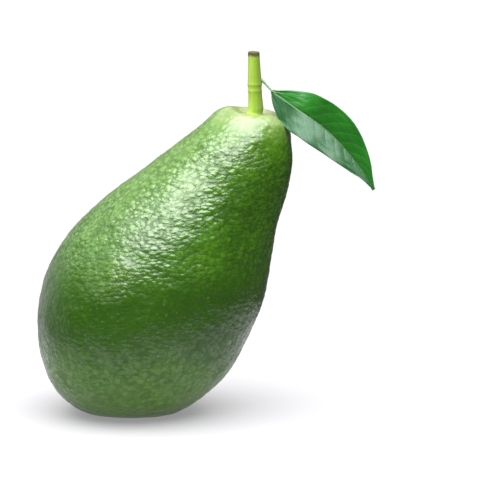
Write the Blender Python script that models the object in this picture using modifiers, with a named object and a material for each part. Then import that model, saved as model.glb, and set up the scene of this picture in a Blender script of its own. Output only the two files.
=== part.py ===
"""An avocado as it is picked: the whole fruit, the short stem it hung by, and one leaf on that stem.

Lengths are in metres and +Z is up. The origin is the middle of the flat spot that the leaning fruit rests
on. The neck leans towards +X, and the leaf hangs on the -Y side of it.
"""

import math

import bmesh
import bpy
from mathutils import Vector, noise

MM = 0.001
GAP = 0.3 * MM

# The fruit, as level sections from the flat spot up to the shoulder, in millimetres:
# height, lean of the section's middle along X, half width along X, half depth along Y.
FRUIT_SECTIONS = (
    (0.0, 0.0, 15.9, 10.8),
    (1.6, -0.5, 18.0, 14.8),
    (4.4, -0.3, 21.9, 20.4),
    (8.7, 0.4, 26.9, 26.1),
    (14.4, 1.7, 31.2, 30.6),
    (21.5, 2.9, 34.5, 34.2),
    (30.0, 4.5, 37.0, 36.2),
    (39.9, 6.7, 39.0, 36.5),
    (49.8, 9.1, 39.0, 35.5),
    (59.8, 12.3, 37.2, 33.0),
    (69.7, 17.6, 34.1, 29.0),
    (79.6, 24.9, 29.8, 24.4),
    (89.6, 32.8, 23.2, 20.0),
    (98.0, 39.0, 16.7, 16.0),
    (102.6, 42.0, 13.0, 12.6),
)
# The crown, from the shoulder over the rim and down to the stem's socket, in the same four measures.
CROWN_SECTIONS = (
    (104.8, 42.4, 10.7, 10.6),
    (105.9, 42.5, 9.0, 9.0),
    (106.2, 42.5, 7.6, 7.6),
    (105.9, 42.5, 6.1, 6.1),
    (105.2, 42.5, 4.8, 4.8),
    (104.7, 42.5, 3.4, 3.4),
)
FLAT_RINGS = 3
BODY_RINGS = 48
CROWN_RINGS = 9
FRUIT_SIDES = 74
# How much deeper the fruit is on the side it leans away from, which keeps its weight over the flat spot.
BELLY = 0.1
BELLY_FULL = 14 * MM
BELLY_FADES_FROM = 55 * MM
# The level sections tip with the crown, which falls away along +X and rises along +Y.
CROWN_SLOPE_X = -0.115
CROWN_SLOPE_Y = 0.03
CROWN_SLOPE_FROM = 84 * MM
CROWN_SLOPE_FULL = 103 * MM

# The skin's pebbles, larger than life. They die out towards the flat spot and round the stem.
PEBBLE_LENGTH = 6 * MM
PEBBLE_HEIGHT = 0.7 * MM
PEBBLES_FROM = 1.0 * MM
PEBBLES_FULL = 8 * MM
SMOOTH_ROUND_STEM = 8 * MM
PEBBLED_ROUND_STEM = 14 * MM

STEM_X = 42.7 * MM
SOCKET_RADIUS = 2.9 * MM
SOCKET_FLOOR = 101.6 * MM
SOCKET_MOUTH = 104.5 * MM
STEM_SIDES = 24
# The stem's outline, as height above its foot and radius, in millimetres.
STEM_OUTLINE = (
    (0.0, 2.2),
    (0.4, 2.55),
    (3.4, 2.55),
    (5.5, 2.4),
    (9.0, 2.22),
    (11.0, 2.2),
    (11.4, 2.34),
    (11.9, 2.2),
    (13.1, 2.2),
    (13.6, 2.36),
    (14.1, 2.2),
    (17.5, 2.12),
    (21.0, 2.02),
    (23.6, 2.04),
    (24.2, 2.0),
    (24.4, 1.7),
)
STEM_BOW = 0.15 * MM
LEAF_SCAR_HEIGHT = 15.6 * MM
LEAF_SCAR_SPAN = 3.2 * MM
LEAF_SCAR_RISE = 0.5 * MM

# The leaf's path: the petiole from the stem to the blade's base, then the midrib from there to the tip.
PETIOLE = (
    (45.8, -0.5, 116.4),
    (47.1, -1.3, 115.1),
    (48.7, -2.4, 113.5),
)
MIDRIB = (
    (48.7, -2.4, 113.5),
    (57.0, -4.6, 107.9),
    (66.0, -6.8, 101.8),
    (73.0, -8.6, 95.3),
    (79.7, -10.6, 87.0),
    (83.6, -12.0, 80.7),
)
PETIOLE_STEPS = 4
BLADE_STEPS = 32
PETIOLE_RADIUS = 0.55 * MM
PETIOLE_ROOT_RADIUS = 0.72 * MM
LEAF_FACING = Vector((0.0, -0.98, 0.17))
LEAF_FOLD = math.radians(26)
LEAF_LEAST_HALF_WIDTH = 0.5 * MM
LEAF_THICKNESS = 0.7 * MM
LEAF_WAVE = 0.45 * MM
LEAF_WAVES = 3.5
MIDRIB_DEPTH = 0.6 * MM
# Each half of the blade: its width, how steeply it widens from the base and how steeply it narrows to the tip.
UPPER_HALF = (9.3 * MM, 1.0, 1.2)
LOWER_HALF = (8.7 * MM, 0.72, 1.15)
# Where the points lie across the blade, as shares of its half width. The midrib is between the close ones.
ACROSS = (1.0, 0.74, 0.46, 0.22, 0.07, 0.0, -0.07, -0.22, -0.46, -0.74, -1.0)
MIDRIB_ACROSS = 0.14

SKIN_GREEN = (0.085, 0.24, 0.025, 1)
STEM_GREEN = (0.42, 0.6, 0.08, 1)
LEAF_GREEN = (0.03, 0.2, 0.035, 1)


def smoothstep(value, start, end):
    share = max(0.0, min(1.0, (value - start) / (end - start)))
    return share * share * (3 - 2 * share)


def smooth_through(points, steps):
    """Evenly spaced points on one smooth curve through the given ones, in any number of measures."""
    ends = [points[0], *points, points[-1]]
    fine = []
    for before, start, end, after in zip(ends, ends[1:], ends[2:], ends[3:]):
        for step in range(24):
            t = step / 24
            fine.append([
                0.5 * (2 * b + (c - a) * t + (2 * a - 5 * b + 4 * c - d) * t**2 + (3 * b - a - 3 * c + d) * t**3)
                for a, b, c, d in zip(before, start, end, after)
            ])
    fine.append(list(points[-1]))
    run = [0.0]
    for here, there in zip(fine, fine[1:]):
        run.append(run[-1] + math.dist(here, there))
    spaced = []
    place = 0
    for step in range(steps + 1):
        wanted = run[-1] * step / steps
        while place < len(fine) - 2 and run[place + 1] < wanted:
            place += 1
        share = (wanted - run[place]) / (run[place + 1] - run[place])
        spaced.append([a + (b - a) * share for a, b in zip(fine[place], fine[place + 1])])
    return spaced


def in_metres(points):
    return [[value * MM for value in point] for point in points]


def material(name, colour, roughness):
    made = bpy.data.materials.new(name)
    made.use_nodes = True
    shader = made.node_tree.nodes["Principled BSDF"]
    shader.inputs["Base Color"].default_value = colour
    shader.inputs["Roughness"].default_value = roughness
    shader.inputs["Metallic"].default_value = 0
    return made


def add_object(name, mesh, collection, finish=None):
    made = bpy.data.objects.new(name, mesh)
    collection.objects.link(made)
    if finish:
        mesh.materials.append(finish)
    return made


def ball_of_rings(rings, sides):
    """A closed ball, and for each of its vertices the ring it is on, from the lower pole up, and its angle."""
    shape = bmesh.new()
    bmesh.ops.create_uvsphere(shape, u_segments=sides, v_segments=rings - 1, radius=1)
    places = []
    for vertex in shape.verts:
        from_pole = math.acos(max(-1.0, min(1.0, -vertex.co.z))) / math.pi
        places.append((vertex, round(from_pole * (rings - 1)), math.atan2(vertex.co.x, -vertex.co.y)))
    return shape, places


def fruit_sections():
    """Every ring of the fruit: from the flat spot's middle, up the body, over the rim and into the socket."""
    body = in_metres(smooth_through(FRUIT_SECTIONS, BODY_RINGS))
    height, lean, half_width, half_depth = body[0]
    flat = [
        [height, lean, half_width * ring / FLAT_RINGS, half_depth * ring / FLAT_RINGS]
        for ring in range(FLAT_RINGS)
    ]
    crown = in_metres(smooth_through((FRUIT_SECTIONS[-1], *CROWN_SECTIONS), CROWN_RINGS))
    socket = [
        [SOCKET_MOUTH, STEM_X, SOCKET_RADIUS, SOCKET_RADIUS],
        [SOCKET_FLOOR, STEM_X, SOCKET_RADIUS, SOCKET_RADIUS],
        [SOCKET_FLOOR, STEM_X, SOCKET_RADIUS / 2, SOCKET_RADIUS / 2],
        [SOCKET_FLOOR, STEM_X, 0.0, 0.0],
    ]
    return flat + body + crown[1:] + socket


def place_on_fruit(section, angle):
    """A point of the smooth fruit, on a section and at an angle round it."""
    height, lean, half_width, half_depth = section
    belly = BELLY * smoothstep(height, 0.0, BELLY_FULL)
    belly *= 1 - smoothstep(height, BELLY_FADES_FROM, CROWN_SLOPE_FULL)
    x = half_width * math.sin(angle)
    y = -half_depth * math.cos(angle) * (1 - belly * math.sin(angle))
    tipped = smoothstep(height, CROWN_SLOPE_FROM, CROWN_SLOPE_FULL)
    tipped *= smoothstep(half_depth, SOCKET_RADIUS, 3 * SOCKET_RADIUS)
    return Vector((lean + x, y, height + tipped * (CROWN_SLOPE_X * x + CROWN_SLOPE_Y * y)))


def pebble_rise(place):
    """How far the pebbled skin stands out from the smooth fruit at a place."""
    at = place / PEBBLE_LENGTH
    rise = PEBBLE_HEIGHT * (noise.noise(at) + 0.5 * noise.noise(at * 1.9))
    rise *= smoothstep(place.z, PEBBLES_FROM, PEBBLES_FULL)
    if place.z > CROWN_SLOPE_FROM:
        from_stem = math.hypot(place.x - STEM_X, place.y)
        rise *= smoothstep(from_stem, SMOOTH_ROUND_STEM, PEBBLED_ROUND_STEM)
    return rise


def fruit_mesh():
    """A ball whose rings are moved onto the fruit's sections, then raised into pebbles along its normals."""
    sections = fruit_sections()
    shape, places = ball_of_rings(len(sections), FRUIT_SIDES)
    for vertex, ring, angle in places:
        vertex.co = place_on_fruit(sections[ring], angle)
    shape.normal_update()
    for vertex, _, _ in places:
        vertex.co += vertex.normal * pebble_rise(vertex.co)
    mesh = bpy.data.meshes.new("fruit")
    shape.to_mesh(mesh)
    shape.free()
    mesh.shade_smooth()
    return mesh


def baked(holder, name):
    """The holder's evaluated mesh as a mesh of its own, with coinciding points joined. The holder is removed."""
    bpy.context.view_layer.update()
    evaluated = holder.evaluated_get(bpy.context.evaluated_depsgraph_get())
    mesh = bpy.data.meshes.new_from_object(evaluated)
    mesh.name = name
    mesh.transform(holder.matrix_world)
    bpy.data.objects.remove(holder)
    shape = bmesh.new()
    shape.from_mesh(mesh)
    bmesh.ops.remove_doubles(shape, verts=shape.verts, dist=0.00001)
    shape.to_mesh(mesh)
    shape.free()
    return mesh


def stem_mesh(collection):
    """The stem: its outline turned about the upright axis, then bowed a little, with a swelling at the leaf."""
    foot = SOCKET_FLOOR + GAP
    outline = [(0.0, 0.0), *STEM_OUTLINE, (STEM_OUTLINE[-1][0], 0.0)]
    profile = bpy.data.meshes.new("stem_outline")
    points = [(radius * MM, 0.0, height * MM) for height, radius in reversed(outline)]
    profile.from_pydata(points, [(i, i + 1) for i in range(len(points) - 1)], [])
    holder = add_object("stem_outline", profile, collection)
    screw = holder.modifiers.new("turn", "SCREW")
    screw.steps = screw.render_steps = STEM_SIDES
    screw.use_merge_vertices = True
    screw.merge_threshold = 0.00001
    mesh = baked(holder, "stem")
    length = STEM_OUTLINE[-1][0] * MM
    for vertex in mesh.vertices:
        x, y, height = vertex.co
        swelling = max(0.0, 1 - abs(height - LEAF_SCAR_HEIGHT) / LEAF_SCAR_SPAN)
        x += LEAF_SCAR_RISE * swelling**2 * max(0.0, x / (2 * MM)) ** 3
        x -= STEM_BOW * math.sin(math.pi * height / length)
        vertex.co = (STEM_X + x, y, foot + height)
    mesh.shade_smooth()
    mesh.set_sharp_from_angle(angle=math.radians(40))
    return mesh


def half_width(along, width, widening, narrowing):
    """The width of one half of the blade at a share of its length."""
    widest = widening / (widening + narrowing)
    peak = widest**widening * (1 - widest) ** narrowing
    share = along**widening * (1 - along) ** narrowing / peak
    return max(LEAF_LEAST_HALF_WIDTH, width * share)


def blade_offset(along, number):
    """How far one point of a blade section lies from the midrib, sideways and towards the leaf's face."""
    on_face = number < len(ACROSS)
    across = ACROSS[number] if on_face else ACROSS[2 * len(ACROSS) - 1 - number]
    reach = across * half_width(along, *(UPPER_HALF if across > 0 else LOWER_HALF))
    rise = abs(reach) * math.sin(LEAF_FOLD) * (1 - 0.2 * abs(across))
    wave = math.sin(2 * math.pi * LEAF_WAVES * along + across) * math.sin(math.pi * along)
    rise += LEAF_WAVE * across**2 * wave
    if on_face:
        rise += LEAF_THICKNESS / 2
    else:
        rib = max(0.0, 1 - abs(across) / MIDRIB_ACROSS)
        rise -= LEAF_THICKNESS / 2 + MIDRIB_DEPTH * rib * (1 - along)
    return reach * math.cos(LEAF_FOLD), rise


def petiole_offset(along, number):
    """The same for one point of the petiole's round section."""
    turn = 2 * math.pi * (number + 0.5) / (2 * len(ACROSS))
    radius = PETIOLE_ROOT_RADIUS + (PETIOLE_RADIUS - PETIOLE_ROOT_RADIUS) * along
    return radius * math.cos(turn), radius * math.sin(turn)


def leaf_mesh():
    """A ball whose rings are moved onto the leaf's sections: the round petiole, then the folded, waved blade."""
    petiole = in_metres(smooth_through(PETIOLE, PETIOLE_STEPS))[:-1]
    midrib = in_metres(smooth_through(MIDRIB, BLADE_STEPS))
    path = [Vector(point) for point in [petiole[0], *petiole, *midrib, midrib[-1]]]
    last = len(path) - 1
    points_around = 2 * len(ACROSS)
    shape, places = ball_of_rings(len(path), points_around)
    for vertex, ring, angle in places:
        number = round(angle / (2 * math.pi) * points_around) % points_around
        sideways = towards_face = 0.0
        if PETIOLE_STEPS < ring < last:
            sideways, towards_face = blade_offset((ring - PETIOLE_STEPS - 1) / BLADE_STEPS, number)
        elif 0 < ring < last:
            sideways, towards_face = petiole_offset((ring - 1) / PETIOLE_STEPS, number)
        run = path[min(ring + 1, last)] - path[max(ring - 1, 0)]
        side = LEAF_FACING.cross(run).normalized()
        face = run.cross(side).normalized()
        vertex.co = path[ring] + side * sideways + face * towards_face
    bmesh.ops.triangulate(shape, faces=shape.faces, quad_method="SHORT_EDGE")
    mesh = bpy.data.meshes.new("leaf")
    shape.to_mesh(mesh)
    shape.free()
    mesh.shade_smooth()
    mesh.set_sharp_from_angle(angle=math.radians(50))
    return mesh


def main():
    for old in list(bpy.data.objects):
        bpy.data.objects.remove(old)
    avocado = bpy.data.collections.new("avocado")
    bpy.context.scene.collection.children.link(avocado)
    add_object("fruit", fruit_mesh(), avocado, material("pebbled_skin", SKIN_GREEN, 0.35))
    add_object("stem", stem_mesh(avocado), avocado, material("green_stem", STEM_GREEN, 0.5))
    add_object("leaf", leaf_mesh(), avocado, material("glossy_leaf", LEAF_GREEN, 0.3))


main()
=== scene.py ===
"""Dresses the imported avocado: pebbled glossy skin, cut green stem, one veined leaf, and a pale studio."""

import math

import bmesh
import bpy
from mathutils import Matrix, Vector, noise


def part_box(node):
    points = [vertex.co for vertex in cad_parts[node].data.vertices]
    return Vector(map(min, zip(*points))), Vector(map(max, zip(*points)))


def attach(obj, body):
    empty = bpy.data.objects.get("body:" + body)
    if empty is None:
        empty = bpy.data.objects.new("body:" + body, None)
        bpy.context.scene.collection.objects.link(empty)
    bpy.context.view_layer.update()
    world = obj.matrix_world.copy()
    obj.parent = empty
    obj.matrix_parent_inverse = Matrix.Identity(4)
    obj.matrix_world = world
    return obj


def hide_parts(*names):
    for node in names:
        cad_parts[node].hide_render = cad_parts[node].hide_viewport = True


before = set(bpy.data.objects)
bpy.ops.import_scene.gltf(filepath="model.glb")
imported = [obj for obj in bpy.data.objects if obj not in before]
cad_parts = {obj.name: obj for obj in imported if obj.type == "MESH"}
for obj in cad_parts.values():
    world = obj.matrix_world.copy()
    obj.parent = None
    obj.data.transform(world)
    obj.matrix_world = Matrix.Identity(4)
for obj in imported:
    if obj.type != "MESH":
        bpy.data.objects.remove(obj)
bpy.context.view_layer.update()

bl_info = {
    "name": "Avocado",
    "version": (1, 0, 0),
    "blender": (4, 5, 0),
    "location": "3D View > Sidebar > Avocado",
    "description": "Dresses a packed avocado with its skin, stem, leaf and studio",
    "category": "Mesh",
}

MM = 0.001
STEM_LOW, STEM_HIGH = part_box("stem")
STEM_AXIS = Vector(((STEM_LOW.x + STEM_HIGH.x) / 2, (STEM_LOW.y + STEM_HIGH.y) / 2, 0.0))
STEM_RADIUS = 2.1 * MM
SOCKET_RIM = STEM_LOW.z + 2.5 * MM
CROWN = Vector((STEM_AXIS.x, STEM_AXIS.y, STEM_LOW.z + 3.5 * MM))
CROWN_SHOULDER = Vector((30.5, 1.0, 105.0)) * MM

# How the solids' meshes are merged, and which of their triangles are paired into quads.
MERGE_DISTANCE = 0.01 * MM
FLAT_ENOUGH = math.radians(40)
SQUARE_ENOUGH = math.radians(80)

# How far a smoothing round moves a vertex, and how many steps a path takes between two given places.
SMOOTH_FACTOR = 0.5
CURVE_STEPS = 24

# The skin's mesh: heights are above the floor, and the flat spot's half sizes are along X and Y.
SMOOTHED_FROM_CROWN = 12 * MM
SMOOTHED_ABOVE = 1.5 * MM
SOLID_ROUNDS = 6
FLAT_SPOT = (16 * MM, 11 * MM)
RIM_INSIDE = 0.55
RIM_HEIGHT = 5 * MM
RIM_ROUNDS = 25
BROAD_RIPPLE = 9 * MM
SMALL_RIPPLE = 4.2 * MM
CROWN_KNOB = 3.2 * MM
SKIN_GRAIN = 1.1 * MM
LOW_FULLNESS = 0.55 * MM
SHOULDER_FULLNESS = 1.3 * MM
SHOULDER_REACH = 6 * MM

# How far the skin's grains stray from their cells, and the crown's colours from their distance.
GRAIN_WANDER = 1.1 * MM
CROWN_WANDER = 12 * MM

# Each pair is where a change begins and where it is complete. These are distances from the crown.
KNOBBED = (17 * MM, 7 * MM)
CLEAR_OF_STEM = (3.5 * MM, 8 * MM)
GRAINS_GROWN = (14 * MM, 30 * MM)
CROWN_PALE = (23 * MM, 9 * MM)
CORKY_RING = (10.5 * MM, 8 * MM)

# These are heights above the floor, apart from the first, which is a distance towards the side where light
# is painted onto the skin.
PAINTED_LIGHT_REACH = (54 * MM, 84 * MM)
CLEAR_OF_FLOOR = (0.3 * MM, 4 * MM)
FULLER_BELOW = (62 * MM, 34 * MM)
# Painted shade: the belly is painted darker between the next two heights.
BELLY_SHADE_FROM_ABOVE = (66 * MM, 44 * MM)
BELLY_SHADE_FROM_BELOW = (14 * MM, 34 * MM)
# Painted light: below this height the skin is painted lighter, for light bounced up from the floor.
PAINTED_BOUNCE_UNDERSIDE = (26 * MM, 6 * MM)
GRAINS_BELOW_BELLY = (46 * MM, 34 * MM)
GRAINS_OFF_UNDERSIDE = (8 * MM, 22 * MM)
GRAINS_ABOVE_BELLY = (38 * MM, 62 * MM)
# Painted shade: the creases are painted darker, more so higher up.
PAINTED_CREASE_SHADE = (8 * MM, 55 * MM)
WAX_OFF_UNDERSIDE = (4 * MM, 30 * MM)

# Most of a noise texture's values lie between these.
NOISE_RANGE = (0.3, 0.7)

# The stem: how far its foot spreads above and below the socket's rim, and its cut end and colours.
FLARE_ABOVE = 0.9 * MM
FLARE_BELOW = 0.55 * MM
STEM_CLEAR = SOCKET_RIM + 3 * MM
RISING_LENGTH = 9 * MM
CUT_DEPTH = 0.3 * MM
CUT_HOLLOW = (1.75 * MM, 0.8 * MM)
HOLLOW_DEPTH = 0.2 * MM
CUT_ROUGHNESS = 0.12 * MM
CUT_GRAIN = 0.7 * MM
STEM_KNOB = 1.6 * MM
BROWN_WANDER = 1.2 * MM
BROWN_EDGE = 1.1 * MM
CORKY_FOOT = (SOCKET_RIM + 1.3 * MM, SOCKET_RIM + 0.2 * MM)
# Painted light and painted shade: the stem is painted paler on the side away from the leaf and darker on the
# side towards it.
PAINTED_LIT_SIDE = (0.3 * MM, -1.6 * MM)
PAINTED_SHADE_SIDE = (0.2 * MM, 1.6 * MM)
PITH_EDGE = (1.5 * MM, 0.9 * MM)

# The leaf's path, as in the solid: from inside the stem along the petiole, then along the midrib to the tip.
PETIOLE = (
    (44.3, 0.2, 117.4),
    (45.8, -0.5, 116.4),
    (47.1, -1.3, 115.1),
    (48.7, -2.4, 113.5),
)
MIDRIB = (
    (48.7, -2.4, 113.5),
    (57.0, -4.6, 107.9),
    (66.0, -6.8, 101.8),
    (73.0, -8.6, 95.3),
    (79.7, -10.6, 87.0),
    (83.6, -12.0, 80.7),
)
LEAF_FACING = Vector((0.0, -0.98, 0.17))

# Each half's greatest width, and how fast it widens from the stem and narrows to the tip.
UPPER_HALF = (9.3 * MM, 1.0, 1.2)
LOWER_HALF = (8.7 * MM, 0.72, 1.15)

# The blade's mesh, veins and waves, and the rib behind it.
BLADE_ALONG = 260
BLADE_ACROSS = 110
LEAST_HALF_WIDTH = 0.3 * MM
SIDE_VEINS = 11
VEIN_STAGGER = 0.45
VEIN_SHARE = 0.09
EDGE_WAVES = 3.5
RIB_RADIUS = 0.36 * MM
RIB_BEHIND_BLADE = 0.5 * MM
RIB_GRAIN = 0.9 * MM

# The real size of the photograph's pixels, its side in pixels, and where the flat spot's middle is in it.
PHOTO_PIXEL = 0.347 * MM
PHOTO_SIZE = 500
PHOTO_ORIGIN = (131.5, 413.5)

# The ceiling's lit patches, in lengths along and aside for each length of height. The pairs are the dark
# and the lit end of the front, back, left and right edge.
SOFTBOX = ((-1.65, -1.2), (0.55, -0.1), (-1.0, -0.5), (1.0, 0.5))
CEILING_GLOW = ((-2.5, -1.2), (2.6, 0.7), (-3.0, -1.5), (1.7, 0.6))
LOWEST_CEILING = 0.03
LEFT_BACK = (-0.6, 0.8, 0.0)
SEEN_WHITE = 1.05
WHITE = (1.0, 1.0, 1.0, 1.0)
BLACK = (0.0, 0.0, 0.0, 1.0)


def length(name, description, millimetres):
    return bpy.props.FloatProperty(
        name=name, description=description, default=millimetres * MM, unit="LENGTH", precision=5)


def share(name, description, default, highest=1.0):
    return bpy.props.FloatProperty(
        name=name, description=description, default=default, min=0.0, max=highest, subtype="FACTOR")


def colour(name, description, default):
    return bpy.props.FloatVectorProperty(
        name=name, description=description, default=(*default, 1.0), size=4, min=0.0, max=1.0,
        subtype="COLOR")


def angle(name, description, degrees):
    return bpy.props.FloatProperty(
        name=name, description=description, default=math.radians(degrees), subtype="ANGLE")


class FruitSettings(bpy.types.PropertyGroup):
    """The fruit's skin."""
    mesh_step: length("Mesh step", "Spacing of the skin's mesh", 0.6)
    pebble_spacing: length("Pebble spacing", "Distance from pebble to pebble", 2.4)
    pebble_height: length("Pebble height", "How far a pebble stands out of its creases", 0.12)
    grain_spacing: length("Grain spacing", "Distance from grain to grain on the pebbles", 2.1)
    grain_height: length(
        "Grain height", "Bump distance of the grains, of which about half shows as their rise", 0.19)
    ripple_height: length("Ripple height", "Height of the broad unevenness under the pebbles", 0.22)
    # Deep green is also painted shade in the creases and on the belly.
    deep_green: colour(
        "Deep green", "Skin in the darkest mottles, the creases and the belly", (0.015, 0.055, 0.0012))
    mid_green: colour("Mid green", "Most of the skin", (0.043, 0.142, 0.004))
    # Light green is also painted light on the lit side and low down.
    light_green: colour("Light green", "Skin in the lightest mottles", (0.09, 0.215, 0.006))
    # Painted light: the skin is painted lighter towards this side, where the light comes from.
    painted_light_side: bpy.props.FloatVectorProperty(
        name="Painted light side", description="The side on which the skin is lighter", default=(-0.45, -0.1, 0.9),
        subtype="DIRECTION")
    crown_green: colour("Crown green", "Skin round the stem", (0.28, 0.32, 0.13))
    cork_brown: colour("Cork brown", "The corky ring in which the stem stands", (0.24, 0.19, 0.06))
    lenticel_colour: colour("Lenticels", "The small pale dots in the skin", (0.2, 0.3, 0.07))
    roughness: share("Roughness", "Roughness of the skin under its wax", 0.3)


class StemSettings(bpy.types.PropertyGroup):
    """The stem."""
    mesh_step: length("Mesh step", "Spacing of the stem's mesh", 0.13)
    fibre_height: length("Fibre height", "Height of the ridges along the stem", 0.035)
    fullness: length("Fullness", "How much larger the lower stem's radius is than its solid's", 0.25)
    shift: length("Shift", "How far the lower stem stands from its foot, towards the leaf", 0.5)
    lean: length("Lean", "How far the top leans back from there", 0.8)
    rise: length("Rise", "How far the cut end stands above its solid", 0.6)
    flare: length("Flare", "How far the stem's foot spreads over its socket", 0.8)
    brown_length: length("Brown length", "Length of the dried end", 1.5)
    green: colour("Green", "Most of the stem", (0.25, 0.42, 0.024))
    # Painted light: the side away from the leaf is painted paler.
    painted_light_green: colour("Painted light green", "The side away from the leaf", (0.43, 0.6, 0.09))
    # Dark green is the stem's streaks, and also painted shade on the side towards the leaf.
    dark_green: colour("Dark green", "The streaks and the side towards the leaf", (0.19, 0.29, 0.045))
    brown: colour("Brown", "The dried cut end", (0.075, 0.068, 0.018))
    cork: colour("Cork", "The foot, where it has grown together with the crown", (0.19, 0.2, 0.055))
    pith: colour("Pith", "The middle of the cut", (0.08, 0.062, 0.025))


class LeafSettings(bpy.types.PropertyGroup):
    """The leaf."""
    fold: angle("Fold", "How far each half is raised from flat", 26)
    thickness: length("Thickness", "Thickness of the blade", 0.42)
    wave_height: length("Wave height", "How far the edge waves", 0.45)
    vein_depth: length("Vein depth", "How deep the side veins lie in the blade", 0.05)
    pucker_height: length("Pucker height", "How far the blade swells between its veins", 0.07)
    green: colour("Green", "The blade's upper face", (0.015, 0.142, 0.011))
    light_green: colour("Light green", "The blade's lighter mottles", (0.024, 0.172, 0.016))
    # Painted shade and painted sheen: the lower half's upper face is painted darker, to offset the stronger
    # light it catches, and bluer, like the sheen it reflects.
    lower_half_painted_green: colour("Lower half painted green", "The upper face of the blade's lower half", (0.014, 0.08, 0.02))
    vein_green: colour("Vein green", "Midrib and side veins", (0.2, 0.4, 0.13))
    rib_green: colour("Rib green", "The petiole, and the midrib from below", (0.2, 0.3, 0.16))
    underside_green: colour("Underside green", "The blade's lower face", (0.16, 0.3, 0.11))


class StudioSettings(bpy.types.PropertyGroup):
    """The floor, the lights and the camera."""
    floor_colour: colour("Floor", "The pale floor", (0.27, 0.268, 0.275))
    floor_glow: share("Floor glow", "Light that the floor gives off, as a light table does", 0.28)
    floor_radius: length("Floor radius", "Radius of the floor, which fades out towards its rim", 150)
    softbox_strength: share("Softbox strength", "Brightness of the overhead softbox", 7.1, 30.0)
    ceiling_strength: share("Ceiling strength", "Brightness of the ceiling round the softbox", 1.2, 20.0)
    room_strength: share("Room strength", "Brightness of the pale room behind", 0.5, 20.0)
    camera_distance: length("Camera distance", "From the middle of the picture to the camera", 1200)
    camera_elevation: angle("Camera elevation", "Height of the camera above the horizon", 10)


def smoothstep(value, start, end):
    """Nought before the start, one past the end, and a smooth rise between them."""
    part = max(0.0, min(1.0, (value - start) / (end - start)))
    return part * part * (3 - 2 * part)


def smooth_through(points, steps):
    """Evenly spaced places on one smooth curve through the given ones, in metres."""
    ends = [Vector(point) * MM for point in (points[0], *points, points[-1])]
    fine = []
    for before, start, end, after in zip(ends, ends[1:], ends[2:], ends[3:]):
        for step in range(CURVE_STEPS):
            t = step / CURVE_STEPS
            bend = (2 * before - 5 * start + 4 * end - after) * t**2
            twist = (3 * start - before - 3 * end + after) * t**3
            fine.append(0.5 * (2 * start + (end - before) * t + bend + twist))
    fine.append(ends[-1])
    run = [0.0]
    for here, there in zip(fine, fine[1:]):
        run.append(run[-1] + (there - here).length)
    spaced = []
    place = 0
    for step in range(steps + 1):
        wanted = run[-1] * step / steps
        while place < len(fine) - 2 and run[place + 1] < wanted:
            place += 1
        part = (wanted - run[place]) / (run[place + 1] - run[place])
        spaced.append(fine[place].lerp(fine[place + 1], part))
    return spaced


def add_piece(name, mesh, slot=None):
    """An object in the scene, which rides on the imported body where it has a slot."""
    piece = bpy.data.objects.new(name, mesh)
    bpy.context.scene.collection.objects.link(piece)
    if slot:
        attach(piece, "root")
    return piece


def merged_copy(node):
    """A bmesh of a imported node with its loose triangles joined, and paired into quads again."""
    shape = bmesh.new()
    shape.from_mesh(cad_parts[node].data)
    bmesh.ops.remove_doubles(shape, verts=shape.verts, dist=MERGE_DISTANCE)
    bmesh.ops.join_triangles(
        shape, faces=shape.faces, angle_face_threshold=FLAT_ENOUGH, angle_shape_threshold=SQUARE_ENOUGH)
    return shape


def smooth(shape, verts, rounds):
    """Eases the given vertices towards their neighbours, a few rounds."""
    for _ in range(rounds):
        bmesh.ops.smooth_vert(
            shape, verts=verts, factor=SMOOTH_FACTOR, use_axis_x=True, use_axis_y=True, use_axis_z=True)


def evaluated_mesh(holder):
    """The mesh that an object gives with its modifiers or its bevel. The object is removed."""
    bpy.context.view_layer.update()
    evaluated = holder.evaluated_get(bpy.context.evaluated_depsgraph_get())
    mesh = bpy.data.meshes.new_from_object(evaluated)
    bpy.data.objects.remove(holder)
    return mesh


def finish_mesh(shape, mesh, *materials):
    """Writes the shape to a smoothly shaded mesh with its materials. The shape is freed."""
    shape.to_mesh(mesh)
    shape.free()
    mesh.shade_smooth()
    mesh.materials.clear()
    for material in materials:
        mesh.materials.append(material)


def finely_remeshed(shape, name, step, rounds):
    """The shape as an even mesh of small quads, smoothed a few rounds. The shape is freed."""
    mesh = bpy.data.meshes.new(name)
    shape.to_mesh(mesh)
    shape.free()
    holder = add_piece(name, mesh)
    rounded = holder.modifiers.new("rounded", "SUBSURF")
    rounded.levels = rounded.render_levels = 2
    even = holder.modifiers.new("even", "REMESH")
    even.mode = "VOXEL"
    even.voxel_size = step
    calm = holder.modifiers.new("calm", "SMOOTH")
    calm.factor = SMOOTH_FACTOR
    calm.iterations = rounds
    fine = evaluated_mesh(holder)
    fine.name = name
    return fine


def fill_inputs(tree, node, inputs):
    """Links each input to a socket, or sets it to a value."""
    for name, value in inputs.items():
        if isinstance(value, bpy.types.NodeSocket):
            tree.links.new(value, node.inputs[name])
        else:
            node.inputs[name].default_value = value


def add_node(tree, kind, inputs=None, **settings):
    """A shader node with its settings, and its inputs linked or set."""
    made = tree.nodes.new("ShaderNode" + kind)
    for name, value in settings.items():
        setattr(made, name, value)
    fill_inputs(tree, made, inputs or {})
    return made


def maths(tree, operation, first, second=0.0):
    """The result of one operation on two values."""
    return add_node(tree, "Math", {0: first, 1: second}, operation=operation).outputs[0]


def product(tree, first, *others):
    """Several values multiplied together."""
    for other in others:
        first = maths(tree, "MULTIPLY", first, other)
    return first


def vector_maths(tree, operation, first, second=(0.0, 0.0, 0.0)):
    """The result of one operation on vectors: a value where the operation gives one, or else a vector."""
    made = add_node(tree, "VectorMath", {0: first, 1: second}, operation=operation)
    return made.outputs["Value" if operation in ("DOT_PRODUCT", "DISTANCE", "LENGTH") else "Vector"]


def painted(tree, name):
    """What the mesh's vertices store under a name."""
    return add_node(tree, "Attribute", attribute_name=name).outputs["Fac"]


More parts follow.
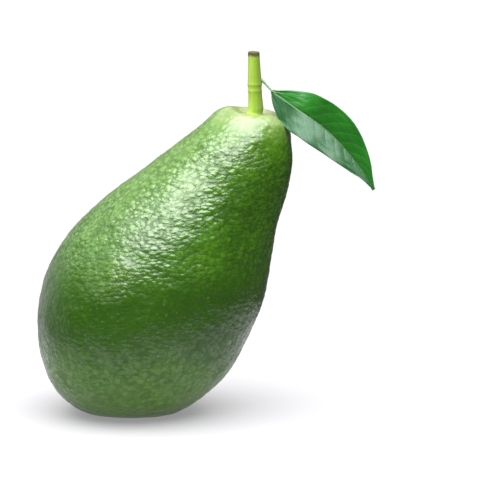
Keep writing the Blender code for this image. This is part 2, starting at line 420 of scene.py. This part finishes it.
def ramp(tree, value, low, high, to_low=0.0, to_high=1.0):
    """A value mapped smoothly from one range to another."""
    inputs = {"Value": value, "From Min": low, "From Max": high, "To Min": to_low, "To Max": to_high}
    return add_node(tree, "MapRange", inputs, interpolation_type="SMOOTHSTEP").outputs[0]


def blend(tree, factor, first, second):
    """The first colour, turning into the second as the factor rises."""
    return add_node(tree, "Mix", {0: factor, 6: first, 7: second}, data_type="RGBA").outputs[2]


def noise_of(tree, place, scale, detail=2.0, roughness=0.5):
    """A noise texture's value at a place."""
    inputs = {"Vector": place, "Scale": scale, "Detail": detail, "Roughness": roughness}
    return add_node(tree, "TexNoise", inputs).outputs[0]


def new_group(name, inputs, outputs):
    """An empty shader node group with named sockets, and its input and output nodes."""
    tree = bpy.data.node_groups.new(name, "ShaderNodeTree")
    for label, kind, default in inputs:
        socket = tree.interface.new_socket(label, in_out="INPUT", socket_type=kind)
        if default is not None:
            socket.default_value = default
    for label, kind in outputs:
        tree.interface.new_socket(label, in_out="OUTPUT", socket_type=kind)
    return tree, tree.nodes.new("NodeGroupInput").outputs, tree.nodes.new("NodeGroupOutput").inputs


def mottled_group():
    """Three shades of one colour, mixed in broad clouds and fine grain."""
    name = "mottled_colour"
    if name in bpy.data.node_groups:
        return bpy.data.node_groups[name]
    tree, given, result = new_group(name, (
        ("Place", "NodeSocketVector", None),
        ("Deep", "NodeSocketColor", None),
        ("Middle", "NodeSocketColor", None),
        ("Light", "NodeSocketColor", None),
        ("Broad Scale", "NodeSocketFloat", 40.0),
        ("Fine Scale", "NodeSocketFloat", 500.0),
    ), (("Color", "NodeSocketColor"),))
    broad = noise_of(tree, given["Place"], given["Broad Scale"], 3.0)
    fine = noise_of(tree, given["Place"], given["Fine Scale"], 3.0, 0.6)
    deeper = ramp(tree, broad, 0.5, 0.24)
    lighter = ramp(tree, broad, 0.52, 0.78)
    shade = blend(tree, deeper, given["Middle"], given["Deep"])
    shade = blend(tree, lighter, shade, given["Light"])
    grain = ramp(tree, fine, 0.3, 0.7, -0.35, 0.35)
    hollows = maths(tree, "MAXIMUM", maths(tree, "MULTIPLY", grain, -1.0), 0.0)
    darker = blend(tree, hollows, shade, given["Deep"])
    grained = blend(tree, maths(tree, "MAXIMUM", grain, 0.0), darker, given["Light"])
    tree.links.new(grained, result["Color"])
    return tree


def speckle_group():
    """Small round dots, scattered by cells, in a share of the cells."""
    name = "speckles"
    if name in bpy.data.node_groups:
        return bpy.data.node_groups[name]
    tree, given, result = new_group(name, (
        ("Place", "NodeSocketVector", None),
        ("Scale", "NodeSocketFloat", 300.0),
        ("Size", "NodeSocketFloat", 0.15),
        ("Share", "NodeSocketFloat", 0.6),
    ), (("Mask", "NodeSocketFloat"),))
    cells = add_node(tree, "TexVoronoi", {"Vector": given["Place"], "Scale": given["Scale"]})
    pick = add_node(tree, "SeparateColor", {0: cells.outputs["Color"]})
    size = maths(tree, "MULTIPLY", given["Size"], ramp(tree, pick.outputs[1], 0.0, 1.0, 0.55, 1.3))
    edge = maths(tree, "MULTIPLY", size, 0.45)
    dot = add_node(tree, "MapRange", {
        "Value": cells.outputs["Distance"], "From Min": size, "From Max": edge, "To Min": 0.0, "To Max": 1.0,
    }, interpolation_type="SMOOTHSTEP").outputs[0]
    chosen = maths(tree, "LESS_THAN", pick.outputs[0], given["Share"])
    tree.links.new(maths(tree, "MULTIPLY", dot, chosen), result["Mask"])
    return tree


def grain_group():
    """A surface normal raised by two sizes of grain."""
    name = "grown_grain"
    if name in bpy.data.node_groups:
        return bpy.data.node_groups[name]
    tree, given, result = new_group(name, (
        ("Place", "NodeSocketVector", None),
        ("Coarse Scale", "NodeSocketFloat", 900.0),
        ("Fine Scale", "NodeSocketFloat", 2600.0),
        ("Height", "NodeSocketFloat", 0.00005),
    ), (("Normal", "NodeSocketVector"),))
    coarse = noise_of(tree, given["Place"], given["Coarse Scale"], 2.0)
    fine = noise_of(tree, given["Place"], given["Fine Scale"], 2.0)
    both = maths(tree, "ADD", coarse, maths(tree, "MULTIPLY", fine, 0.35))
    bump = add_node(tree, "Bump", {"Strength": 1.0, "Distance": given["Height"], "Height": both})
    tree.links.new(bump.outputs[0], result["Normal"])
    return tree


def new_material(name):
    """An empty material: its tree, its shader, and the place on the piece as a vector."""
    made = bpy.data.materials.new(name)
    made.use_nodes = True
    tree = made.node_tree
    shader = tree.nodes["Principled BSDF"]
    place = tree.nodes.new("ShaderNodeTexCoord").outputs["Object"]
    return made, tree, shader, place


def use_group(tree, group, inputs):
    """The first output of a node group that is placed in a material with its own values."""
    made = tree.nodes.new("ShaderNodeGroup")
    made.node_tree = group
    fill_inputs(tree, made, inputs)
    return made.outputs[0]


def skin_greens(tree, place, height, settings):
    """The greens under the creases: mottled, with painted light on the lit side and low down, and painted
    shade on the belly.
    """
    shade = use_group(tree, mottled_group(), {
        "Place": place, "Deep": settings.deep_green, "Middle": settings.mid_green,
        "Light": settings.light_green, "Broad Scale": 38.0, "Fine Scale": 520.0,
    })
    # Painted light: the skin is painted lighter towards the side the light comes from.
    towards_painted_light = vector_maths(tree, "DOT_PRODUCT", place, settings.painted_light_side)
    shade = blend(tree, ramp(tree, towards_painted_light, *PAINTED_LIGHT_REACH, to_high=0.8), shade, settings.light_green)
    # Painted shade: the belly, facing away from the overhead light, is painted deep green.
    belly = product(tree, ramp(tree, height, *BELLY_SHADE_FROM_ABOVE, to_high=0.8),
                    ramp(tree, height, *BELLY_SHADE_FROM_BELOW))
    shade = blend(tree, belly, shade, settings.deep_green)
    # Painted light: low down the skin is painted lighter, for light bounced up from the floor.
    return blend(tree, ramp(tree, height, *PAINTED_BOUNCE_UNDERSIDE, to_high=0.5), shade, settings.light_green)


def grain_domes(tree, place, settings):
    """The grains as domes, one to each cell of a pattern that wanders and is pressed flat."""
    wander = add_node(tree, "TexNoise", {"Vector": place, "Scale": 700.0, "Detail": 2.0}).outputs["Color"]
    wander = vector_maths(tree, "MULTIPLY", wander, (GRAIN_WANDER,) * 3)
    bent = vector_maths(tree, "ADD", place, wander)
    bent = vector_maths(tree, "MULTIPLY", bent, (1.0, 1.0, 1.9))
    cells = add_node(tree, "TexVoronoi", {"Vector": bent, "Scale": 1 / settings.grain_spacing})
    return maths(tree, "SUBTRACT", 1.0, maths(tree, "POWER", cells.outputs["Distance"], 2.0))


def skin_material(settings):
    """Mottled green skin with painted shade in its creases, yellower round the stem, with pale lenticels,
    and waxed on top of its pebbles.
    """
    made, tree, shader, place = new_material("pebbled_skin")
    height = add_node(tree, "SeparateXYZ", {0: place}).outputs["Z"]
    shade = skin_greens(tree, place, height, settings)
    domes = grain_domes(tree, place, settings)
    wander = maths(tree, "MULTIPLY", noise_of(tree, place, scale=110.0, detail=3.0), CROWN_WANDER)
    from_crown = maths(tree, "ADD", vector_maths(tree, "DISTANCE", place, tuple(CROWN)), wander)
    patches = ramp(tree, noise_of(tree, place, scale=90.0), *NOISE_RANGE, to_low=0.75, to_high=1.2)
    grown = product(tree, ramp(tree, from_crown, *GRAINS_GROWN, to_low=0.3), patches)
    below = product(tree, ramp(tree, height, *GRAINS_BELOW_BELLY, to_low=0.4, to_high=0.8),
                    ramp(tree, height, *GRAINS_OFF_UNDERSIDE, to_low=0.45))
    calmed = maths(tree, "MAXIMUM", ramp(tree, height, *GRAINS_ABOVE_BELLY, to_low=0.4), below)
    relief = product(tree, grown, calmed)
    between_grains = ramp(tree, domes, 0.8, 0.45)
    between_pebbles = ramp(tree, painted(tree, "pebble"), 0.4, 0.0)
    creases = maths(tree, "MAXIMUM", between_grains, between_pebbles)
    # Painted shade: the creases between grains and pebbles are painted deep green, as shade falls in them.
    darker = product(tree, creases, grown, ramp(tree, height, *PAINTED_CREASE_SHADE, to_low=0.34, to_high=0.6))
    shade = blend(tree, darker, shade, settings.deep_green)
    creases = product(tree, creases, relief)
    shade = blend(tree, ramp(tree, from_crown, *CROWN_PALE, to_high=0.8), shade, settings.crown_green)
    shade = blend(tree, ramp(tree, from_crown, *CORKY_RING, to_high=0.6), shade, settings.cork_brown)
    dots = use_group(tree, speckle_group(), {"Place": place, "Scale": 430.0, "Size": 0.26, "Share": 0.8})
    shade = blend(tree, maths(tree, "MULTIPLY", dots, 0.13), shade, settings.lenticel_colour)
    tree.links.new(shade, shader.inputs["Base Color"])
    wax = product(tree, ramp(tree, noise_of(tree, place, scale=260.0), *NOISE_RANGE, to_low=0.75),
                  ramp(tree, height, *WAX_OFF_UNDERSIDE, to_low=0.65))
    wax = maths(tree, "SUBTRACT", wax, maths(tree, "MULTIPLY", creases, 0.5))
    tree.links.new(wax, shader.inputs["Coat Weight"])
    rough = ramp(tree, creases, 0.0, 1.0, to_low=settings.roughness, to_high=0.45)
    tree.links.new(rough, shader.inputs["Roughness"])
    domes = product(tree, domes, relief)
    bump = add_node(tree, "Bump", {"Strength": 1.0, "Distance": settings.grain_height, "Height": domes})
    tree.links.new(bump.outputs[0], shader.inputs["Normal"])
    tree.links.new(bump.outputs[0], shader.inputs["Coat Normal"])
    shader.inputs["Specular IOR Level"].default_value = 0.25
    shader.inputs["Coat Roughness"].default_value = 0.16
    shader.inputs["Coat IOR"].default_value = 1.65
    return made


def grow_fruit(settings):
    """The skin: the solid's form on an even fine mesh, rippled and pebbled along its normals."""
    shape = merged_copy("fruit")
    for _ in range(SOLID_ROUNDS):
        loose = [
            vertex for vertex in shape.verts
            if vertex.co.z > SMOOTHED_ABOVE and (vertex.co - CROWN).length > SMOOTHED_FROM_CROWN
        ]
        smooth(shape, loose, 1)
    mesh = finely_remeshed(shape, "skin", settings.mesh_step, 3)
    shape = bmesh.new()
    shape.from_mesh(mesh)
    pebble_layer = shape.verts.layers.float.new("pebble")
    rim = [
        vertex for vertex in shape.verts if vertex.co.z < RIM_HEIGHT
        and math.hypot(vertex.co.x / FLAT_SPOT[0], vertex.co.y / FLAT_SPOT[1]) > RIM_INSIDE
    ]
    smooth(shape, rim, RIM_ROUNDS)
    shape.normal_update()
    for vertex in shape.verts:
        place = vertex.co
        from_crown = (place - CROWN).length
        gaps = noise.voronoi(place / settings.pebble_spacing)[0]
        pebble = smoothstep(gaps[1] - gaps[0], 0.0, 0.5)
        vertex[pebble_layer] = pebble
        ripple = noise.noise(place / BROAD_RIPPLE) + 0.6 * noise.noise(place / SMALL_RIPPLE)
        ripple += 0.9 * smoothstep(from_crown, *KNOBBED) * noise.noise(place / CROWN_KNOB)
        grain = noise.noise(place / SKIN_GRAIN)
        off_floor = smoothstep(place.z, *CLEAR_OF_FLOOR)
        off_stem = smoothstep(from_crown, *CLEAR_OF_STEM)
        fuller = LOW_FULLNESS * smoothstep(place.z, *FULLER_BELOW)
        fuller += SHOULDER_FULLNESS * math.exp(-((place - CROWN_SHOULDER).length / SHOULDER_REACH) ** 2)
        rise = settings.pebble_height * (pebble - 0.5 + 0.35 * grain) + settings.ripple_height * ripple
        vertex.co = place + vertex.normal * off_floor * (fuller + rise * (0.25 + 0.75 * off_stem))
    finish_mesh(shape, mesh, skin_material(settings))
    skin = add_piece("skin", mesh, "pebbled_skin")
    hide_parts("fruit")


def stem_material(settings):
    """Streaked yellow-green stem with painted light on the side away from the leaf and painted shade towards
    it, corky at its foot, and dried brown at its cut end round its pith.
    """
    made, tree, shader, place = new_material("green_stem")
    from_axis = vector_maths(tree, "SUBTRACT", place, tuple(STEM_AXIS))
    stretched = vector_maths(tree, "MULTIPLY", from_axis, (1.0, 1.0, 0.09))
    streaks = noise_of(tree, stretched, scale=1500.0, detail=3.0, roughness=0.6)
    aside = add_node(tree, "SeparateXYZ", {0: from_axis}).outputs["X"]
    # Painted light on the side away from the leaf, and painted shade on the side towards it.
    shade = blend(tree, ramp(tree, aside, *PAINTED_LIT_SIDE), settings.green, settings.painted_light_green)
    shade = blend(tree, ramp(tree, aside, *PAINTED_SHADE_SIDE), shade, settings.dark_green)
    shade = blend(tree, ramp(tree, streaks, 0.42, 0.75, to_high=0.5), shade, settings.dark_green)
    height = add_node(tree, "SeparateXYZ", {0: place}).outputs["Z"]
    shade = blend(tree, ramp(tree, height, *CORKY_FOOT, to_high=0.75), shade, settings.cork)
    wander = maths(tree, "MULTIPLY", noise_of(tree, place, scale=900.0), BROWN_WANDER)
    cut = STEM_HIGH.z + settings.rise
    top = cut - settings.brown_length
    dried = ramp(tree, maths(tree, "ADD", height, wander), top, top + BROWN_EDGE)
    shade = blend(tree, dried, shade, settings.brown)
    cut_middle = (settings.shift - settings.lean, 0.0, 0.0)
    flat = vector_maths(tree, "SUBTRACT", from_axis, cut_middle)
    flat = vector_maths(tree, "MULTIPLY", flat, (1.0, 1.0, 0.0))
    pith = product(tree, ramp(tree, vector_maths(tree, "LENGTH", flat), *PITH_EDGE),
                   ramp(tree, height, cut - 0.45 * MM, cut - CUT_DEPTH))
    shade = blend(tree, pith, shade, settings.pith)
    tree.links.new(shade, shader.inputs["Base Color"])
    rough = ramp(tree, streaks, *NOISE_RANGE, to_low=0.38, to_high=0.6)
    rough = maths(tree, "ADD", rough, maths(tree, "MULTIPLY", dried, 0.25))
    tree.links.new(rough, shader.inputs["Roughness"])
    normal = use_group(tree, grain_group(), {
        "Place": stretched, "Coarse Scale": 2600.0, "Fine Scale": 6000.0, "Height": 0.04 * MM,
    })
    tree.links.new(normal, shader.inputs["Normal"])
    return made


def grow_stem(settings):
    """The stem: the solid's form, fitted to the photograph, with fibres, a spread foot and a hollow cut."""
    mesh = finely_remeshed(merged_copy("stem"), "stalk", settings.mesh_step, 2)
    shape = bmesh.new()
    shape.from_mesh(mesh)
    shape.normal_update()
    for vertex in shape.verts:
        off = vertex.co - STEM_AXIS
        around = Vector((off.x, off.y, 0.0))
        radius = around.length
        out = around.normalized()
        side = smoothstep(abs(vertex.normal.z), 0.8, 0.4)
        fibres = noise.noise(Vector((out.x * 2.6, out.y * 2.6, off.z * 70)))
        fibres += 0.5 * noise.noise(Vector((out.x * 6.0, out.y * 6.0, off.z * 160)))
        knobs = noise.noise(vertex.co / STEM_KNOB)
        above_rim = off.z - SOCKET_RIM
        spread = math.exp(-((above_rim / (FLARE_ABOVE if above_rim > 0 else FLARE_BELOW)) ** 2))
        vertex.co += out * side * (settings.fibre_height * (fibres + 0.5 * knobs) + settings.flare * spread)
        if vertex.co.z > STEM_HIGH.z - CUT_DEPTH:
            hollow = smoothstep(radius, *CUT_HOLLOW)
            vertex.co.z += CUT_ROUGHNESS * noise.noise(vertex.co / CUT_GRAIN) - HOLLOW_DEPTH * hollow
        climb = max(0.0, (off.z - STEM_CLEAR) / (STEM_HIGH.z - STEM_CLEAR))
        off_foot = smoothstep(off.z, SOCKET_RIM, STEM_CLEAR)
        vertex.co += around * settings.fullness / STEM_RADIUS * off_foot * (1 - climb)
        vertex.co.x += settings.shift * off_foot - settings.lean * climb
        vertex.co.z += settings.rise * smoothstep(off.z, STEM_HIGH.z - RISING_LENGTH, STEM_HIGH.z)
    finish_mesh(shape, mesh, stem_material(settings))
    stalk = add_piece("stalk", mesh, "green_stem")
    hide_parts("stem")


def half_width(along, width, widening, narrowing):
    """The width of one half of the blade at a share of its length."""
    widest = widening / (widening + narrowing)
    peak = widest**widening * (1 - widest) ** narrowing
    return max(LEAST_HALF_WIDTH, width * along**widening * (1 - along) ** narrowing / peak)


def vein_distance(along, across):
    """How far a place of the blade is from its nearest side vein, as a share of their spacing."""
    reach = abs(across)
    start = along - 0.13 * reach - 0.05 * reach**2
    turn = start * SIDE_VEINS + (VEIN_STAGGER if across > 0 else 0.0)
    return abs(turn - round(turn))


def blade_top_material(settings):
    """Dark glossy green, its lower half painted darker and bluer as painted shade and sheen, with paler
    veins and a fine net between them.
    """
    made, tree, shader, place = new_material("leaf_top")
    shade = use_group(tree, mottled_group(), {
        "Place": place, "Deep": settings.green, "Middle": settings.green,
        "Light": settings.light_green, "Broad Scale": 90.0, "Fine Scale": 900.0,
    })
    # Painted shade and painted sheen on the lower half: darker and bluer than the rest of the upper face.
    shade = blend(tree, painted(tree, "lower"), shade, settings.lower_half_painted_green)
    shade = blend(tree, maths(tree, "MULTIPLY", painted(tree, "vein"), 0.07), shade, settings.vein_green)
    shade = blend(tree, maths(tree, "MULTIPLY", painted(tree, "rib"), 0.2), shade, settings.vein_green)
    tree.links.new(shade, shader.inputs["Base Color"])
    net = add_node(tree, "TexVoronoi", {"Vector": place, "Scale": 1300.0}, feature="DISTANCE_TO_EDGE")
    cells = ramp(tree, net.outputs[0], 0.0, 0.2)
    bump = add_node(tree, "Bump", {"Strength": 0.6, "Distance": 0.012 * MM, "Height": cells})
    tree.links.new(bump.outputs[0], shader.inputs["Normal"])
    rough = ramp(tree, noise_of(tree, place, scale=400.0), *NOISE_RANGE, to_low=0.26, to_high=0.36)
    tree.links.new(rough, shader.inputs["Roughness"])
    shader.inputs["Specular IOR Level"].default_value = 0.44
    shader.inputs["Specular Tint"].default_value = (0.84, 0.97, 0.94, 1.0)
    return made


def blade_underside_material(settings):
    """Pale matt green with raised paler veins."""
    made, tree, shader, place = new_material("leaf_underside")
    grain = noise_of(tree, place, scale=600.0, detail=3.0)
    darker = ramp(tree, grain, *NOISE_RANGE, to_high=0.35)
    shade = blend(tree, darker, settings.underside_green, settings.green)
    shade = blend(tree, maths(tree, "MULTIPLY", painted(tree, "vein"), 0.6), shade, settings.vein_green)
    tree.links.new(shade, shader.inputs["Base Color"])
    rough = ramp(tree, grain, *NOISE_RANGE, to_low=0.5, to_high=0.65)
    tree.links.new(rough, shader.inputs["Roughness"])
    normal = use_group(tree, grain_group(), {
        "Place": place, "Coarse Scale": 1800.0, "Fine Scale": 4000.0, "Height": 0.03 * MM,
    })
    tree.links.new(normal, shader.inputs["Normal"])
    return made


def rib_material(settings):
    """The pale petiole and midrib."""
    made, tree, shader, place = new_material("leaf_rib")
    grain = noise_of(tree, place, scale=1500.0, detail=3.0)
    greener = ramp(tree, grain, *NOISE_RANGE, to_low=0.3, to_high=0.6)
    shade = blend(tree, greener, settings.rib_green, settings.light_green)
    tree.links.new(shade, shader.inputs["Base Color"])
    rough = ramp(tree, grain, *NOISE_RANGE, to_low=0.4, to_high=0.55)
    tree.links.new(rough, shader.inputs["Roughness"])
    return made


def leaf_frame(path, number):
    """The sideways and outward directions of the leaf at one of its path's places."""
    run = path[min(number + 1, len(path) - 1)] - path[max(number - 1, 0)]
    side = LEAF_FACING.cross(run).normalized()
    return side, run.cross(side).normalized()


def grow_blade(settings):
    """The blade: a fine sheet folded along its midrib, waved at its edge and swollen between its veins."""
    midrib = smooth_through(MIDRIB, BLADE_ALONG)
    shape = bmesh.new()
    bmesh.ops.create_grid(shape, x_segments=BLADE_ALONG, y_segments=BLADE_ACROSS, size=1)
    vein_layer = shape.verts.layers.float.new("vein")
    rib_layer = shape.verts.layers.float.new("rib")
    lower_layer = shape.verts.layers.float.new("lower")
    for vertex in shape.verts:
        number = round((vertex.co.x + 1) / 2 * BLADE_ALONG)
        along = number / BLADE_ALONG
        across = vertex.co.y
        side, face = leaf_frame(midrib, number)
        reach = across * half_width(along, *(UPPER_HALF if across > 0 else LOWER_HALF))
        from_vein = vein_distance(along, across)
        vein = math.exp(-((from_vein / VEIN_SHARE) ** 2)) * (1 - 0.6 * across**2)
        rib = math.exp(-((reach / ((0.3 - 0.18 * along) * MM)) ** 2))
        vertex[vein_layer] = vein
        vertex[rib_layer] = rib
        vertex[lower_layer] = smoothstep(across, 0.02, -0.02)
        fold = settings.fold * smoothstep(along, 0.16, 0.36)
        rise = abs(reach) * math.sin(fold) * (1 - 0.2 * abs(across))
        wave = math.sin(2 * math.pi * EDGE_WAVES * along + across) * math.sin(math.pi * along)
        rise += settings.wave_height * across**2 * wave
        swell = math.sin(math.pi * from_vein) ** 2 * (1 - across**2) * min(1.0, abs(reach) / (1.5 * MM))
        off_base = smoothstep(along, 0.08, 0.4)
        pucker = settings.pucker_height * swell * math.sin(math.pi * along)
        rise += off_base * (pucker - settings.vein_depth * vein)
        rise += 0.1 * MM * noise.noise(vertex.co * 5) - 0.12 * MM * rib
        vertex.co = midrib[number] + side * reach * math.cos(fold) + face * rise
    shape.normal_update()
    if sum(face.normal.dot(LEAF_FACING) for face in shape.faces) < 0:
        bmesh.ops.reverse_faces(shape, faces=shape.faces)
    mesh = bpy.data.meshes.new("blade")
    finish_mesh(shape, mesh, blade_top_material(settings), blade_underside_material(settings))
    blade = add_piece("blade", mesh, "glossy_leaf")
    thick = blade.modifiers.new("thickness", "SOLIDIFY")
    thick.thickness = settings.thickness
    thick.offset = -1
    thick.material_offset = 1
    thick.material_offset_rim = 0
    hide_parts("leaf")


def grow_rib(settings):
    """The petiole and the midrib under the blade: one tapered rib from inside the stem to the tip."""
    petiole = smooth_through(PETIOLE, 14)
    midrib = smooth_through(MIDRIB, 60)
    path = petiole[:-1] + midrib
    curve = bpy.data.curves.new("rib", "CURVE")
    curve.dimensions = "3D"
    curve.bevel_depth = RIB_RADIUS
    curve.bevel_resolution = 4
    curve.use_fill_caps = True
    spline = curve.splines.new("POLY")
    spline.points.add(len(path) - 1)
    for number, (point, place) in enumerate(zip(spline.points, path)):
        _, face = leaf_frame(path, number)
        on_blade = max(0.0, (number - len(petiole) + 1) / len(midrib))
        point.co = (*(place - face * RIB_BEHIND_BLADE * smoothstep(on_blade, 0.0, 0.04)), 1)
        root = smoothstep(number, 8, 0)
        point.radius = 1.0 + 0.75 * root - 0.75 * on_blade**0.7
    mesh = evaluated_mesh(add_piece("rib", curve))
    shape = bmesh.new()
    shape.from_mesh(mesh)
    bmesh.ops.remove_doubles(shape, verts=shape.verts, dist=0.005 * MM)
    bmesh.ops.recalc_face_normals(shape, faces=shape.faces)
    for vertex in shape.verts:
        vertex.co += vertex.normal * 0.05 * MM * noise.noise(vertex.co / RIB_GRAIN)
    finish_mesh(shape, mesh, rib_material(settings))
    add_piece("rib", mesh, "glossy_leaf")


def lay_floor(settings):
    """The pale floor: it glows a little, is darker in reflections, and fades out to the white room."""
    shape = bmesh.new()
    bmesh.ops.create_circle(shape, cap_ends=True, segments=96, radius=settings.floor_radius)
    bmesh.ops.translate(shape, verts=shape.verts, vec=(0, 0, -0.05 * MM))
    mesh = bpy.data.meshes.new("floor")
    shape.to_mesh(mesh)
    shape.free()
    made, tree, shader, place = new_material("pale_floor")
    grain = noise_of(tree, place, scale=30.0)
    paler = tuple(min(1.0, value * 1.02) for value in settings.floor_colour)
    mirrored = tree.nodes.new("ShaderNodeLightPath").outputs["Is Glossy Ray"]
    mirrored = maths(tree, "MULTIPLY", mirrored, 0.3)
    shade = blend(tree, grain, settings.floor_colour, paler)
    tree.links.new(blend(tree, mirrored, shade, BLACK), shader.inputs["Base Color"])
    tree.links.new(blend(tree, mirrored, (0.98, 0.97, 1.0, 1.0), BLACK), shader.inputs["Emission Color"])
    shader.inputs["Roughness"].default_value = 0.6
    shader.inputs["Specular IOR Level"].default_value = 0.2
    shader.inputs["Emission Strength"].default_value = settings.floor_glow
    rim = settings.floor_radius
    faded = ramp(tree, vector_maths(tree, "LENGTH", place), rim, 0.65 * rim)
    tree.links.new(faded, shader.inputs["Alpha"])
    mesh.materials.append(made)
    add_piece("floor", mesh)


def lit_patch(tree, along, aside, edges):
    """A patch of the ceiling with soft edges."""
    front, back, left, right = edges
    return product(tree, ramp(tree, along, *front), ramp(tree, along, *back),
                   ramp(tree, aside, *left), ramp(tree, aside, *right))


def set_room(settings):
    """A dim room, palest at the back left, under a softbox that reaches forward. The camera sees white."""
    world = bpy.data.worlds.new("pale_room")
    world.use_nodes = True
    tree = world.node_tree
    tree.nodes.clear()
    direction = tree.nodes.new("ShaderNodeTexCoord").outputs["Generated"]
    towards = add_node(tree, "SeparateXYZ", {0: direction}).outputs
    height = maths(tree, "MAXIMUM", towards["Z"], LOWEST_CEILING)
    along = maths(tree, "DIVIDE", towards["Y"], height)
    aside = maths(tree, "DIVIDE", towards["X"], height)
    softbox = lit_patch(tree, along, aside, SOFTBOX)
    glow = lit_patch(tree, along, aside, CEILING_GLOW)
    light = maths(tree, "MULTIPLY", softbox, settings.softbox_strength)
    light = maths(tree, "ADD", light, maths(tree, "MULTIPLY", glow, settings.ceiling_strength))
    room = ramp(tree, vector_maths(tree, "DOT_PRODUCT", direction, LEFT_BACK), 0.45, 1.0, to_low=0.15)
    light = maths(tree, "ADD", light, maths(tree, "MULTIPLY", room, settings.room_strength))
    lit = add_node(tree, "Background", {"Color": WHITE, "Strength": light})
    seen = add_node(tree, "Background", {"Color": WHITE, "Strength": SEEN_WHITE})
    rays = tree.nodes.new("ShaderNodeLightPath").outputs["Is Camera Ray"]
    mixed = add_node(tree, "MixShader", {0: rays, 1: lit.outputs[0], 2: seen.outputs[0]})
    output = tree.nodes.new("ShaderNodeOutputWorld")
    tree.links.new(mixed.outputs[0], output.inputs["Surface"])
    bpy.context.scene.world = world


def set_camera(settings):
    """The camera at the photograph's estimated angle and scale."""
    half = PHOTO_SIZE / 2
    tilt = settings.camera_elevation
    target = Vector((
        (half - PHOTO_ORIGIN[0]) * PHOTO_PIXEL, 0.0,
        (PHOTO_ORIGIN[1] - half) * PHOTO_PIXEL / math.cos(tilt)))
    back = Vector((0.0, -math.cos(tilt), math.sin(tilt)))
    data = bpy.data.cameras.new("camera")
    data.lens = data.sensor_width * settings.camera_distance / (PHOTO_SIZE * PHOTO_PIXEL)
    data.clip_end = 50.0
    camera = bpy.data.objects.new("camera", data)
    bpy.context.scene.collection.objects.link(camera)
    camera.location = target + back * settings.camera_distance
    camera.rotation_euler = back.to_track_quat("Z", "Y").to_euler()
    bpy.context.scene.camera = camera


class AVOCADO_OT_fruit(bpy.types.Operator):
    """Grow the pebbled skin on the fruit's solid"""
    bl_idname = "avocado.fruit"
    bl_label = "Fruit"

    def execute(self, context):
        grow_fruit(context.scene.avocado_fruit)
        return {"FINISHED"}


class AVOCADO_OT_stem(bpy.types.Operator):
    """Grow the cut stem"""
    bl_idname = "avocado.stem"
    bl_label = "Stem"

    def execute(self, context):
        grow_stem(context.scene.avocado_stem)
        return {"FINISHED"}


class AVOCADO_OT_leaf(bpy.types.Operator):
    """Grow the leaf's blade, its midrib and its petiole"""
    bl_idname = "avocado.leaf"
    bl_label = "Leaf"

    def execute(self, context):
        grow_blade(context.scene.avocado_leaf)
        grow_rib(context.scene.avocado_leaf)
        return {"FINISHED"}


class AVOCADO_OT_studio(bpy.types.Operator):
    """Set up the pale floor, the soft lights and the camera"""
    bl_idname = "avocado.studio"
    bl_label = "Studio"

    def execute(self, context):
        settings = context.scene.avocado_studio
        lay_floor(settings)
        set_room(settings)
        set_camera(settings)
        context.scene.view_settings.view_transform = "Standard"
        return {"FINISHED"}


class AVOCADO_PT_panel(bpy.types.Panel):
    """Lists what makes the avocado and its picture"""
    bl_idname = "AVOCADO_PT_panel"
    bl_label = "Avocado"
    bl_space_type = "VIEW_3D"
    bl_region_type = "UI"
    bl_category = "Avocado"

    def draw(self, context):
        for operator, group in (
            (AVOCADO_OT_fruit, context.scene.avocado_fruit),
            (AVOCADO_OT_stem, context.scene.avocado_stem),
            (AVOCADO_OT_leaf, context.scene.avocado_leaf),
            (AVOCADO_OT_studio, context.scene.avocado_studio),
        ):
            box = self.layout.box()
            box.operator(operator.bl_idname)
            for name in group.__annotations__:
                box.prop(group, name)


GROUPS = {
    "avocado_fruit": FruitSettings,
    "avocado_stem": StemSettings,
    "avocado_leaf": LeafSettings,
    "avocado_studio": StudioSettings,
}
CLASSES = (
    *GROUPS.values(),
    AVOCADO_OT_fruit,
    AVOCADO_OT_stem,
    AVOCADO_OT_leaf,
    AVOCADO_OT_studio,
    AVOCADO_PT_panel,
)


def register():
    for made in CLASSES:
        bpy.utils.register_class(made)
    for name, group in GROUPS.items():
        setattr(bpy.types.Scene, name, bpy.props.PointerProperty(type=group))


def unregister():
    for name in GROUPS:
        delattr(bpy.types.Scene, name)
    for made in reversed(CLASSES):
        bpy.utils.unregister_class(made)


def main():
    register()
    bpy.ops.avocado.fruit()
    bpy.ops.avocado.stem()
    bpy.ops.avocado.leaf()
    bpy.ops.avocado.studio()


if __name__ == "__main__":
    main()
